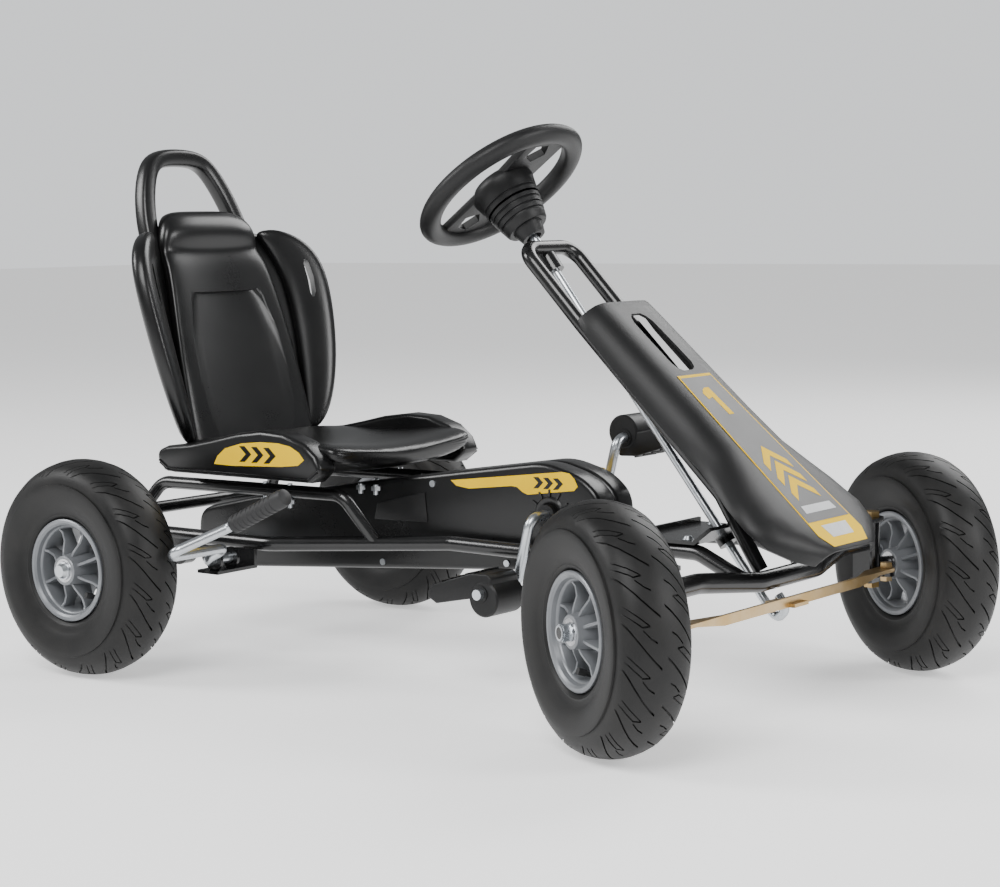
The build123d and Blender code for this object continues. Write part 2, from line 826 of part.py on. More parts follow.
with BuildPart() as seat:
    with BuildSketch(Plane(back_foot, x_dir=(0, 1, 0), z_dir=back_front)):
        with BuildLine():
            Polyline(
                (-120, -20),
                (-146, 50),
                (-165, 150),
                (-172, 225),
                (-150, 275),
                (-84, 276),
                (-78, 318),
                (78, 318),
                (84, 276),
                (150, 275),
                (172, 225),
                (165, 150),
                (146, 50),
                (120, -20),
                close=True,
            )
        make_face()
    extrude(amount=-back_thickness)
    for side in (1, -1):
        with BuildSketch(Plane(back_foot, x_dir=(0, 1, 0), z_dir=back_front)):
            with BuildLine():
                Polyline(
                    (side * 122, 40),
                    (side * 146, 50),
                    (side * 165, 150),
                    (side * 172, 225),
                    (side * 150, 262),
                    (side * 138, 225),
                    (side * 132, 150),
                    close=True,
                )
            make_face()
        extrude(amount=42)
    with BuildSketch(Plane.XZ):
        with BuildLine():
            Polyline(
                (-28, seat_bottom + 22),
                (-12, seat_bottom),
                (240, seat_bottom),
                (276, seat_bottom + 22),
                (272, seat_bottom + 50),
                (225, seat_bottom + 56),
                (110, seat_bottom + 34),
                (-20, seat_bottom + 40),
                close=True,
            )
        make_face()
    extrude(amount=136, both=True)
    for side in (1, -1):
        with BuildSketch(Plane((0, side * 136, 0), x_dir=(1, 0, 0), z_dir=(0, -1, 0))):
            with BuildLine():
                Polyline(
                    (-6, seat_bottom + 22),
                    (16, seat_bottom + 9),
                    (236, seat_bottom + 9),
                    (262, seat_bottom + 26),
                    (246, seat_bottom + 52),
                    (190, seat_bottom + 70),
                    (110, seat_bottom + 68),
                    (40, seat_bottom + 52),
                    close=True,
                )
            make_face()
        extrude(amount=-side * 18)
    with BuildSketch(Plane.XZ):
        with BuildLine():
            Polyline((90, 200), (300, 200), (300, 247), (90, 219), close=True)
        make_face()
    extrude(amount=42, both=True, mode=Mode.SUBTRACT)
    handle_low = back_foot + back_up * 308 - back_front * 18
    handle_high = back_foot + back_up * 398 - back_front * 24
    grip = [
        (handle_low.X, -72, handle_low.Z),
        (handle_high.X, -40, handle_high.Z),
        (handle_high.X, 40, handle_high.Z),
        (handle_low.X, 72, handle_low.Z),
    ]
    add(bar(grip, 10.5, 22))
save(seat.part, "seat")

with BuildPart() as seat_bolts:
    for side in (1, -1):
        for bolt_x, bolt_y, foot_z in (
            (seat_bolt_x[0], seat_bolt_y, 192),
            (seat_bolt_x[1], seat_bolt_y, 192),
            (238, 60, 210),
            (262, 60, 210),
        ):
            with BuildSketch(Plane.XY.offset(foot_z)):
                with Locations((bolt_x, side * bolt_y)):
                    Circle(3)
            extrude(amount=seat_bottom - foot_z)
            with BuildSketch(Plane.XY.offset(foot_z + 5)):
                with Locations((bolt_x, side * bolt_y)):
                    RegularPolygon(6.2, 6)
            extrude(amount=5)
save(seat_bolts.part, "seat_bolts")

# ---- hand brake --------------------------------------------------------------------

pivot_x, pivot_z = brake_pivot
brake_points = [
    (262, -232, 221),
    (182, -232, 184),
    (139, -304, 152.5),
    (139, -190, 152.5),
    (pivot_x, -206, pivot_z),
    (pivot_x, -150, pivot_z),
]
with BuildPart() as brake_lever:
    add(bar(brake_points, brake_radius, 9))
save(brake_lever.part, "brake_lever")

grip_start = Vector(*brake_points[1])
grip_line = (Vector(*brake_points[0]) - grip_start).normalized()
with BuildPart() as brake_grip:
    with BuildSketch(Plane(grip_start + grip_line * 10, z_dir=grip_line)):
        Circle(11)
    extrude(amount=92)
    fillet(brake_grip.edges().filter_by(GeomType.CIRCLE), 3)
    with BuildSketch(Plane(grip_start + grip_line * 10, z_dir=grip_line)):
        Circle(brake_radius)
    extrude(amount=78.2, mode=Mode.SUBTRACT)
save(brake_grip.part, "brake_grip")

with BuildPart() as brake_bracket:
    for ear_y in (-184, -156):
        with BuildSketch(Plane((pivot_x, ear_y, pivot_z), x_dir=(1, 0, 0), z_dir=(0, -1, 0))):
            Circle(13)
            Circle(brake_radius + running_gap, mode=Mode.SUBTRACT)
        extrude(amount=4)
    with BuildSketch(Plane.XY.offset(pivot_z - 16)):
        with Locations((pivot_x - 4, -160)):
            Rectangle(34, 68)
    extrude(amount=4)
    with BuildSketch(Plane.XY.offset(pivot_z - 16)):
        with Locations((pivot_x - 4, -rail_y)):
            Rectangle(34, 5)
    extrude(amount=26)
    add(envelope(right_rail_points, rail_radius, rail_bend), mode=Mode.SUBTRACT)
save(brake_bracket.part, "brake_bracket")

# ---- pedals --------------------------------------------------------------------------


pedal_half = 26.0


def pedal():
    """Moulded pedal about its spindle (Y axis): a ribbed wedge with a round weight behind it."""
    with BuildPart() as block:
        with BuildSketch(Plane.XZ.offset(-pedal_half)):
            Circle(27)
            with BuildLine():
                Polyline((-18, 20), (-74, 2), (-78, -16), (-60, -24), (8, -26), close=True)
            make_face()
            Circle(crank_radius + running_gap, mode=Mode.SUBTRACT)
        extrude(amount=2 * pedal_half)
        with BuildSketch(Plane.XZ.offset(-pedal_half)):
            with Locations((-54, -6)):
                Rectangle(20, 10)
        extrude(amount=2 * pedal_half, mode=Mode.SUBTRACT)
    return block.part


right_pedal = Pos(crank_x - arm_x, -pedal_y - 1, crank_z - arm_z) * pedal()
save(right_pedal, "right_pedal")
left_pedal = Pos(crank_x + arm_x, pedal_y + 1, crank_z + arm_z) * Rot(0, 180, 0) * pedal()
save(left_pedal, "left_pedal")
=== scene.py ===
import json
import math

import bpy
from mathutils import Matrix, Vector


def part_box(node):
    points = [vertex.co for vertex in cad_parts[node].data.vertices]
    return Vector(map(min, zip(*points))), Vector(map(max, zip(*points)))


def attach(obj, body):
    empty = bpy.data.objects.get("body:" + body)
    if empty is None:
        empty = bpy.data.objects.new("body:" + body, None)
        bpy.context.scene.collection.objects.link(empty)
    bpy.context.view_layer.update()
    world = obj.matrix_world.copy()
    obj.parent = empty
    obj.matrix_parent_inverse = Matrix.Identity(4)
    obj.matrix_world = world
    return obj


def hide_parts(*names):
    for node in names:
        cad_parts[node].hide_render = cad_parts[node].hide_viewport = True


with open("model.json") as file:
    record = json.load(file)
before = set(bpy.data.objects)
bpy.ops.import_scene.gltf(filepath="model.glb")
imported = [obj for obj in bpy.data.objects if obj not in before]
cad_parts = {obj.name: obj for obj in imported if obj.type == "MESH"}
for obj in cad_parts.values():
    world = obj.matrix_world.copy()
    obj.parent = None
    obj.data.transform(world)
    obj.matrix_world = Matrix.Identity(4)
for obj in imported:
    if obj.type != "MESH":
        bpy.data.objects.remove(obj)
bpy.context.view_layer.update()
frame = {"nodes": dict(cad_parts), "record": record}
joints = {joint["name"]: Vector(joint["pos_m"]) for joint in frame["record"]["behaviour"]["joints"]}

# ---- tyres -----------------------------------------------------------------
# Four pneumatic tyres of black rubber, moulded with S-shaped tread grooves that
# run down onto the shoulders, a step round each sidewall and a bead that sits
# behind the rim's flange.

mm = 0.001
# A profile gives the radius and the distance along the axle, outer face first.
tyre_profile = [
    (57.2, -27), (61.6, -28.4), (64, -32.5), (67, -34.2), (69, -33.8), (76, -37.6), (86, -40.8),
    (96, -41.9), (101, -42.3),
    (103, -41.8), (103.4, -39.6), (108, -38.9), (114, -37), (120, -32.2), (124.6, -25),
    (127.6, -16), (129.4, -7), (129.9, 0),
]
tyre_inside = [(122, 0), (118, -22), (110, -31), (92, -35), (70, -29), (57.2, -19)]
groove_pitches = 16
groove_top = 135
# Each line down a groove gives its place round the tyre, across it, and the radius of its floor.
groove_line = [
    (-30, -39.4, 111), (-22, -34, 115.5), (-11, -27, 121), (1, -18.5, 123.8), (11, -10, 125.6),
    (18, -3, 126.3),
]
lozenge_line = [(4, -35, 116), (12, -28, 121), (20, -20, 124), (26, -14, 125.2)]
lozenge_back = [(10, -36.5, 114.5), (18, -29.5, 120), (26, -21.5, 123.6), (26, -14, 125.2)]
short_line = [(-20, -21, 123.2), (-12, -14, 125.2), (-8, -8, 126)]


def one_vertex(name, place):
    """Leave a new object in edit mode with one selected vertex, placed in millimetres."""
    bpy.ops.object.select_all(action="DESELECT")
    bpy.ops.mesh.primitive_plane_add(size=mm, location=(0, 0, 0))
    shape = bpy.context.object
    shape.name = name
    bpy.ops.object.mode_set(mode="EDIT")
    bpy.ops.mesh.merge(type="CENTER")
    bpy.ops.transform.translate(value=Vector(place) * mm)
    return shape


def trace(points):
    """Extrude the selected vertex through the points, in millimetres."""
    for last, point in zip(points, points[1:]):
        step = (Vector(point) - Vector(last)) * mm
        bpy.ops.mesh.extrude_region_move(TRANSFORM_OT_translate={"value": step})


def clean_and_leave():
    """Merge doubled vertices, turn the faces outwards and leave edit mode."""
    bpy.ops.mesh.select_all(action="SELECT")
    bpy.ops.mesh.remove_doubles(threshold=0.00002)
    bpy.ops.mesh.normals_make_consistent(inside=False)
    bpy.ops.object.mode_set(mode="OBJECT")


def lathe(name, profile, steps):
    """Turn a profile of (radius, distance along Y) once about the Y axis."""
    points = [(radius, along, 0) for radius, along in profile]
    shape = one_vertex(name, points[0])
    trace(points)
    bpy.ops.mesh.select_all(action="SELECT")
    bpy.ops.mesh.spin(steps=steps, angle=2 * math.pi, center=(0, 0, 0), axis=(0, 1, 0))
    clean_and_leave()
    return shape


def skin(name, loops):
    """Closed skin over a row of loops, each with the same number of points, in millimetres."""
    bpy.ops.object.select_all(action="DESELECT")
    around = len(loops[0])
    bpy.ops.mesh.primitive_grid_add(x_subdivisions=around, y_subdivisions=len(loops) - 1, size=1)
    shape = bpy.context.object
    shape.name = name
    places = [Vector(point) * mm for loop in loops for point in list(loop) + [loop[0]]]
    for vertex, place in zip(shape.data.vertices, places):
        vertex.co = place
    bpy.ops.object.mode_set(mode="EDIT")
    bpy.ops.mesh.select_all(action="SELECT")
    bpy.ops.mesh.remove_doubles(threshold=0.00002)
    bpy.ops.mesh.fill_holes(sides=0)
    clean_and_leave()
    return shape


def modify(shape, kind, **settings):
    """Add a modifier with these settings and apply it."""
    bpy.ops.object.select_all(action="DESELECT")
    bpy.context.view_layer.objects.active = shape
    shape.select_set(True)
    modifier = shape.modifiers.new(kind.title(), kind)
    for name, value in settings.items():
        setattr(modifier, name, value)
    bpy.ops.object.modifier_apply(modifier=modifier.name)


def copy_of(shape, name, matrix):
    """A copy with its own mesh, moved by the matrix."""
    twin = shape.copy()
    twin.data = shape.data.copy()
    twin.name = name
    twin.data.transform(matrix)
    if matrix.determinant() < 0:
        twin.data.flip_normals()
    bpy.context.collection.objects.link(twin)
    return twin


def joined(shapes):
    """Join several objects into the first."""
    bpy.ops.object.select_all(action="DESELECT")
    for shape in shapes:
        shape.select_set(True)
    bpy.context.view_layer.objects.active = shapes[0]
    bpy.ops.object.join()
    return shapes[0]


def cut(shape, cutter, crossing=False):
    """Cut one closed shape out of another; crossing is for a cutter that overlaps itself."""
    modify(
        shape, "BOOLEAN", operation="DIFFERENCE", object=cutter, solver="EXACT", use_self=crossing,
    )
    bpy.data.objects.remove(cutter)


def finished(shape, body, material, nodes=(), angle=35):
    """Give a piece its material, its shading and its place in the frame."""
    bpy.ops.object.select_all(action="DESELECT")
    bpy.context.view_layer.objects.active = shape
    shape.select_set(True)
    bpy.ops.object.shade_smooth_by_angle(angle=math.radians(angle))
    shape.data.materials.clear()
    shape.data.materials.append(material)
    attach(shape, body)
    if nodes:
        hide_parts(*nodes)


class Wire:
    """A socket of a material's tree; arithmetic on it adds Math nodes."""

    def __init__(self, tree, socket=None):
        self.tree = tree
        self.socket = socket

    def node(self, kind, settings=(), sockets=(), output=0):
        made = self.tree.nodes.new(kind)
        for name, value in dict(settings).items():
            if name == "stops":
                ramp = made.color_ramp
                while len(ramp.elements) < len(value):
                    ramp.elements.new(1.0)
                for element, (place, colour) in zip(ramp.elements, value):
                    element.position = place
                    element.color = (*colour, 1.0)
            else:
                setattr(made, name, value)
        for name, value in dict(sockets).items():
            if isinstance(value, Wire):
                self.tree.links.new(value.socket, made.inputs[name])
            else:
                made.inputs[name].default_value = value
        return Wire(self.tree, made.outputs[output])

    def maths(self, operation, first, second):
        return self.node("ShaderNodeMath", {"operation": operation}, {0: first, 1: second})

    def __add__(self, other):
        return self.maths("ADD", self, other)

    def __mul__(self, other):
        return self.maths("MULTIPLY", self, other)

    __radd__ = __add__
    __rmul__ = __mul__


def shader(name, colour, roughness, metallic=0.0, coat=0.0, coat_roughness=0.05, specular=0.5):
    """A new material with uniform values; returns it, its Principled node and a bare wire."""
    material = bpy.data.materials.new(name)
    material.use_nodes = True
    material.diffuse_color = (*colour, 1)
    surface = material.node_tree.nodes["Principled BSDF"]
    surface.inputs["Base Color"].default_value = (*colour, 1)
    surface.inputs["Roughness"].default_value = roughness
    surface.inputs["Metallic"].default_value = metallic
    surface.inputs["Coat Weight"].default_value = coat
    surface.inputs["Coat Roughness"].default_value = coat_roughness
    surface.inputs["Specular IOR Level"].default_value = specular
    return material, surface, Wire(material.node_tree)


def moulded(
    name, dark, light, rough_low, rough_high, grain, grain_depth,
    blotch=30.0, metallic=0.0, coat=0.0, specular=0.5,
):
    """A finish whose colour and roughness wander a little over a fine grain."""
    material, surface, wire = shader(name, dark, rough_low, metallic, coat, specular=specular)
    place = wire.node("ShaderNodeTexCoord", output=3)
    cloud = wire.node(
        "ShaderNodeTexNoise", (),
        {"Vector": place, "Scale": blotch, "Detail": 5.0, "Roughness": 0.6},
    )
    fine = wire.node("ShaderNodeTexNoise", (), {"Vector": place, "Scale": grain, "Detail": 3.0})
    colour = wire.node(
        "ShaderNodeValToRGB", {"stops": [(0.35, dark), (0.7, light)]}, {"Fac": cloud},
    )
    rough = cloud * (rough_high - rough_low) + fine * 0.04 + (rough_low - 0.02)
    bump = wire.node(
        "ShaderNodeBump", (), {"Height": fine, "Distance": grain_depth * mm, "Strength": 0.5},
    )
    tree = material.node_tree
    tree.links.new(colour.socket, surface.inputs["Base Color"])
    tree.links.new(rough.socket, surface.inputs["Roughness"])
    tree.links.new(bump.socket, surface.inputs["Normal"])
    return material


tyre_rubber = moulded(
    "tyre rubber", (0.006, 0.006, 0.006), (0.014, 0.0135, 0.013), 0.4, 0.58, 900.0, 0.25,
    blotch=22.0, specular=0.3,
)


def groove_cutter(line, half_width):
    """A wall of four-cornered loops that follows a groove's line down to its floor."""
    loops = []
    for x, y, radius in line:
        floor = math.sqrt(radius * radius - x * x)
        loops.append([
            (x - half_width, y, floor), (x + half_width, y, floor),
            (x + half_width, y, groove_top), (x - half_width, y, groove_top),
        ])
    return skin("groove", loops)


tyre_outside = tyre_profile + [(radius, -along) for radius, along in reversed(tyre_profile[:-1])]
tyre_hollow = [(radius, -along) for radius, along in reversed(tyre_inside)] + tyre_inside[1:]
tyre = lathe("tyre", tyre_outside + tyre_hollow + tyre_profile[:1], 120)
groove_lines = (groove_line, lozenge_line, lozenge_back, short_line)
groove_half_widths = (1.4, 0.9, 0.9, 1.0)
one_pitch = joined([
    groove_cutter(line, half_width)
    for line, half_width in zip(groove_lines, groove_half_widths)
])
half_turn = Matrix.Rotation(math.pi, 4, "Z")
half_pitch = math.pi / groove_pitches
cutters = []
for index in range(groove_pitches):
    turn = Matrix.Rotation(index * 2 * half_pitch, 4, "Y")
    cutters.append(copy_of(one_pitch, "cutter", turn))
    other_side = turn @ Matrix.Rotation(half_pitch, 4, "Y") @ half_turn
    cutters.append(copy_of(one_pitch, "cutter", other_side))
bpy.data.objects.remove(one_pitch)
cut(tyre, joined(cutters), crossing=True)

wheel_body = {
    "front_right": "front_right_wheel",
    "front_left": "front_left_wheel",
    "rear_right": "rear_right_wheel",
    "rear_left": "rear_axle",
}
# Degrees by which each wheel is turned about the upright, which sets the outer face of its rim.
wheel_turn = {"front_right": -28, "front_left": 152, "rear_right": 0, "rear_left": 180}


def wheel_place(corner):
    """Where a wheel part that is made about the Y axis, outer face to -Y, goes."""
    low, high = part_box(f"{corner}_tyre")
    centre = (Vector(low) + Vector(high)) / 2
    return Matrix.Translation(centre) @ Matrix.Rotation(math.radians(wheel_turn[corner]), 4, "Z")


for corner, body in wheel_body.items():
    piece = copy_of(tyre, f"{corner}_tyre_rubber", wheel_place(corner))
    finished(piece, body, tyre_rubber, [f"{corner}_tyre"], 40)
bpy.data.objects.remove(tyre)

# ---- rims ----------------------------------------------------------------
# Each rim is two mouldings of silver-grey plastic bolted face to face: a rolled
# flange, a stepped barrel, eight thin blade spokes and a hub that holds a
# ball bearing.

rim_silver = moulded(
    "silver plastic", (0.17, 0.178, 0.19), (0.23, 0.238, 0.25), 0.3, 0.42, 1400.0, 0.08,
    blotch=18.0, metallic=0.35,
)
ring_profile = [
    (50, 0), (50, -24), (51, -26), (52.5, -27), (54, -31.5), (56.5, -33.6), (59.5, -34), (61, -33),
    (61.2, -31), (60.4, -28.6),
    (56.7, -27.6), (56.7, -16), (53, -12), (53, 0), (50, 0),
]
hub_profile = [
    (9.3, 0), (9.3, -28.8), (14.1, -28.8), (14.1, -37), (16.8, -37), (17.6, -36.2), (19.5, -22),
    (21, -12), (21, 0), (9.3, 0),
]
spoke_half_thickness = 1.7


def rim_shape():
    """The outer half of a rim about the Y axis: ring, hub and eight spokes."""
    parts = [lathe("rim_ring", ring_profile, 96), lathe("rim_hub", hub_profile, 48)]
    thick = spoke_half_thickness
    stations = ((17.5, -31, -4), (24, -29, -5), (36, -22.5, -6), (46, -22, -7), (51.5, -25.5, -6))
    spoke = skin("spoke", [
        [
            (radius, front, -thick), (radius, front, thick), (radius, back, thick + 0.5),
            (radius, back, -thick - 0.5),
        ]
        for radius, front, back in stations
    ])
    modify(spoke, "BEVEL", width=0.7 * mm, segments=2)
    for index in range(8):
        turn = Matrix.Rotation(math.radians(22.5 + 45 * index), 4, "Y")
        parts.append(copy_of(spoke, "spoke", turn))
    bpy.data.objects.remove(spoke)
    return joined(parts)


rim = rim_shape()
inner_face = Matrix.Rotation(math.pi, 4, "Z")
for corner, body in wheel_body.items():
    for side, face in (("outer", Matrix.Identity(4)), ("inner", inner_face)):
        piece = copy_of(rim, f"{corner}_rim_{side}_moulding", wheel_place(corner) @ face)
        finished(piece, body, rim_silver, [f"{corner}_rim_{side}"], 30)
bpy.data.objects.remove(rim)

# ---- seat --------------------------------------------------------------------
# One blow-moulded seat of gloss black plastic. Its back leans 17 degrees and
# rises into a headrest, a slotted wing stands forward at each side, a grab
# handle loops over the top and a pod at each side carries a yellow sticker.

gloss_black = moulded(
    "gloss black plastic", (0.003, 0.003, 0.0032), (0.006, 0.006, 0.0062), 0.24, 0.34, 700.0, 0.12,
    blotch=9.0, specular=0.45,
)
sticker_yellow = moulded(
    "yellow sticker", (0.8, 0.5, 0.0), (0.84, 0.54, 0.0), 0.5, 0.6, 300.0, 0.02, specular=0.1,
)
sticker_black = moulded(
    "black sticker print", (0.003, 0.003, 0.003), (0.006, 0.006, 0.006), 0.34, 0.42, 300.0, 0.02,
    specular=0.35,
)
sticker_grey = moulded(
    "grey sticker print", (0.45, 0.46, 0.47), (0.55, 0.56, 0.57), 0.35, 0.43, 300.0, 0.02,
    specular=0.3,
)
left = Vector((0, 1, 0))
up = Vector((0, 0, 1))
forward = Vector((1, 0, 0))
lean = math.radians(17)
back_foot = Vector((18, 0, 252))
back_up = Vector((-math.sin(lean), 0, math.cos(lean)))
back_front = Vector((math.cos(lean), 0, math.sin(lean)))


def oval(centre, across, deep, half_width, half_depth, square=2.6, dish=0.0, count=28):
    """A rounded four-sided loop; dish carries its two sides towards deep."""
    points = []
    for index in range(count):
        turn = 2 * math.pi * index / count
        run = math.copysign(abs(math.cos(turn)) ** (2 / square), math.cos(turn))
        rise = math.copysign(abs(math.sin(turn)) ** (2 / square), math.sin(turn))
        sideways = across * half_width * run
        points.append(centre + sideways + deep * (half_depth * rise + dish * run * run))
    return points


def rounded(shape, levels=2):
    modify(shape, "SUBSURF", levels=levels, render_levels=levels)
    return shape


# Up the back: height, half width, half depth, dish of the sides, and how far forward of its plane.
back_stations = [
    (-24, 102, 8, 0, -18), (-10, 112, 14, 4, -16), (60, 111, 15, 9, -16), (150, 104, 14, 12, -15),
    (215, 94, 14, 12, -14),
    (248, 90, 14, 9, -13), (262, 87, 13, 4, -14), (270, 85, 15, 2, -11), (284, 84, 19, 0, -7),
    (300, 77, 18, 0, -8),
    (313, 66, 14, 0, -13), (320, 50, 6, 0, -17),
]
seat_back = rounded(skin("seat_back", [
    oval(back_foot + back_up * t + back_front * out, left, back_front, half, deep, 3.2, dish)
    for t, half, deep, dish, out in back_stations
]))
# Along the base: place, height, half width, half depth and dish of the sides.
base_stations = [
    (-26, 244, 116, 12, 2), (-6, 247, 128, 21, 7), (60, 246, 132, 21, 12), (120, 243, 134, 19, 14),
    (180, 246, 136, 18, 17),
    (222, 250, 137, 17, 18), (252, 252, 134, 15, 14), (268, 252, 124, 9, 8),
]
seat_base = rounded(skin("seat_base", [
    oval(Vector((x, 0, z)), left, up, half, deep, 3.4, dish)
    for x, z, half, deep, dish in base_stations
]))
# Up a wing: height, distance to the side, distance forward, half width and half depth.
wing_stations = [
    (14, 112, -10, 8, 7), (36, 124, -2, 18, 10), (90, 136, 6, 25, 12), (150, 144, 11, 28, 13),
    (210, 147, 13, 30, 13),
    (250, 139, 9, 31, 13), (276, 122, 2, 25, 12), (290, 106, -6, 12, 8),
]
wing_tilt = math.radians(34)
recess_out = 15.6
recess_reach = 108
recess_stations = ((4, 96, 9), (40, 100, 9), (150, 84, 11), (196, 68, 12), (207, 58, 12))
recess = skin("recess", [
    oval(
        back_foot + back_up * t + back_front * recess_out, left, back_front, half, 20, 7,
        dish * (half / recess_reach) ** 2,
    )
    for t, half, dish in recess_stations
])
cut(seat_back, recess)
web_behind = 22
web_stations = [
    (0, 112, 5, 2), (40, 128, 6, 8), (90, 141, 6, 14), (150, 149, 6, 18), (210, 151, 6, 20),
    (250, 142, 6, 15),
    (274, 128, 6, 8), (286, 116, 6, 3), (294, 96, 4, 1),
]
seat_web = rounded(skin("seat_web", [
    oval(back_foot + back_up * t - back_front * web_behind, left, back_front, half, deep, 3, dish)
    for t, half, deep, dish in web_stations
]))
seat_parts = [seat_back, seat_base, seat_web]
for side in (-1, 1):
    outward = left * side * math.cos(wing_tilt) + back_front * math.sin(wing_tilt)
    facing = back_front * math.cos(wing_tilt) - left * side * math.sin(wing_tilt)
    wing = rounded(skin("wing", [
        oval(
            back_foot + back_up * t + left * side * y + back_front * out, outward, facing, half,
            deep, 2.8,
        )
        for t, y, out, half, deep in wing_stations
    ]))
    slot_stations = (
        (188, 148, 13, 1.5), (194, 149, 13, 4), (214, 150, 14, 4.5), (234, 149, 13, 4),
        (240, 148, 13, 1.5),
    )
    slot_cutter = skin("slot", [
        oval(
            back_foot + back_up * t + left * side * y + back_front * out, outward, facing, half, 40,
            3, count=12,
        )
        for t, y, out, half in slot_stations
    ])
    cut(wing, slot_cutter)
    seat_parts.append(wing)
# Along the handle: height up the back, distance to the left, distance forward.
handle_line = [
    (250, 84, -22), (292, 84, -27), (336, 75, -29), (372, 60, -30), (392, 44, -30), (398, 20, -30),
    (398, -20, -30), (392, -44, -30), (372, -60, -30), (336, -75, -29), (292, -84, -27),
    (250, -84, -22),
]
handle_points = [back_foot + back_up * t + left * y + back_front * out for t, y, out in handle_line]


def pipe(name, points, radius, square=2.2, count=16):
    """A rounded bar through the points."""
    loops = []
    for index, point in enumerate(points):
        before = points[max(index - 1, 0)]
        after = points[min(index + 1, len(points) - 1)]
        along = (after - before).normalized()
        across = along.cross(forward).normalized()
        loops.append(oval(point, across, across.cross(along), radius, radius, square, count=count))
    return skin(name, loops)


seat_parts.append(rounded(pipe("handle", handle_points, 12, square=3)))


def panel(name, outline, thickness):
    """A flat plate from an outline of points, grown by the thickness vector, in millimetres."""
    shape = one_vertex(name, outline[0])
    trace(outline)
    bpy.ops.mesh.select_all(action="SELECT")
    bpy.ops.mesh.edge_face_add()
    bpy.ops.mesh.extrude_region_move(TRANSFORM_OT_translate={"value": Vector(thickness) * mm})
    clean_and_leave()
    return shape


pod_outline = [
    (-16, 258), (-18, 246), (-6, 233), (10, 231), (238, 231), (256, 246), (247, 263), (228, 278),
    (196, 288), (160, 290), (120, 285),
    (80, 276), (40, 268), (0, 264),
]
pod_line = [(-12, 246), (2, 237), (236, 236), (251, 247)]
sticker_outline = [
    (83, 246), (89, 256), (102, 266), (130, 273.5), (161, 276.5), (190, 276.5), (209, 273.7),
    (223, 267), (231, 258.5), (221, 251.5),
    (193, 248.6), (113, 245.4),
]
pod_face = 153.0
pod_root = 120
for side, name in ((-1, "right"), (1, "left")):
    pod = panel(
        "pod", [(x, side * pod_root, z) for x, z in pod_outline],
        (0, side * (pod_face - pod_root), 0),
    )
    modify(
        pod, "BEVEL", width=7 * mm, segments=4, limit_method="ANGLE", angle_limit=math.radians(50),
    )
    seat_parts.append(pod)
    for drop in (0, 3.2):
        lip = [Vector((x, side * (pod_face + 0.5 - drop / 3), z - drop)) for x, z in pod_line]
        seat_parts.append(pipe("lip", lip, 1.1, count=8))
    sticker = panel(
        f"{name}_seat_sticker", [(x, side * (pod_face - 0.2), z) for x, z in sticker_outline],
        (0, side * 0.7, 0),
    )
    finished(sticker, "frame", sticker_yellow)
    for start in (126, 146, 166):
        bar = [
            (start, 251), (start + 9, 251.5), (start + 20, 261), (start + 9, 270.5), (start, 270),
            (start + 11, 260.8),
        ]
        mark = panel(
            f"{name}_seat_mark_{start}", [(x, side * (pod_face + 0.3), z) for x, z in bar],
            (0, side * 0.5, 0),
        )
        finished(mark, "frame", sticker_black)
seat = joined(seat_parts)
finished(seat, "frame", gloss_black, ["seat"], 50)

# ---- front fairing -------------------------------------------------------------
# A vacuum-formed shroud of satin black plastic over the steering fork. It opens
# out into two lobes low down and ends in a flat nose; stickers lie on its ridge.

satin_black = moulded(
    "satin black plastic", (0.005, 0.005, 0.0052), (0.009, 0.009, 0.0094), 0.4, 0.5, 1300.0, 0.3,
    blotch=12.0, specular=0.35,
)
# Each section gives its place along the kart, its half width and its depth.
fairing_sections = [
    (584, 68, 26), (600, 71, 30), (660, 74, 34), (715, 76, 36), (756, 80, 34), (780, 94, 30),
    (804, 110, 26), (830, 120, 22), (850, 112, 22), (868, 84, 22), (877, 62, 20),
]
ridge_up = Vector((0.6586, 0, 0.7525))
shroud_wall = 3.0
ridge_x = 584
ridge_z = 445
ridge_fall = 0.8753


def on_ridge(x, y):
    """The point of the shroud's flat ridge above x."""
    return Vector((x, y, ridge_z - (x - ridge_x) * ridge_fall))


def shroud_section(x, half, depth):
    """One closed loop of the shroud: its outside from side to side, then its inside back."""
    outer = [(1, -1), (0.97, -0.7), (0.9, -0.42), (0.78, -0.16), (0.62, -0.02), (0.4, 0), (0.2, 0)]
    row = [(half * wide, depth * deep) for wide, deep in outer]
    row += [(-wide, deep) for wide, deep in reversed(row)]
    middle_scale = (half - shroud_wall) / half
    inner = [
        (wide * middle_scale, deep - shroud_wall * (0.2 if abs(deep) > 0.9 * depth else 1))
        for wide, deep in reversed(row)
    ]
    return [on_ridge(x, wide) + ridge_up * deep for wide, deep in row + inner]


fairing = skin("fairing_shroud", [shroud_section(*station) for station in fairing_sections])
modify(
    fairing, "BEVEL", width=2.5 * mm, segments=2, limit_method="ANGLE",
    angle_limit=math.radians(40),
)

slot_line = [(600, 9), (604, 15), (610, 19), (640, 20), (661, 20), (667, 16), (670, 9)]
slot_loops = [oval(on_ridge(x, 0), left, ridge_up, half, 25, 6, count=12) for x, half in slot_line]
cut(fairing, skin("slot", slot_loops))
finished(fairing, "frame", satin_black, ["fairing"], 40)
sticker_thickness = 0.35


def ridge_sticker(name, outline, lift, material):
    """A thin sticker on the ridge; lift says how far above the shroud its underside lies."""
    points = [on_ridge(x, y) + ridge_up * lift for x, y in outline]
    sticker = panel(name, points, ridge_up * sticker_thickness)
    finished(sticker, "frame", material)


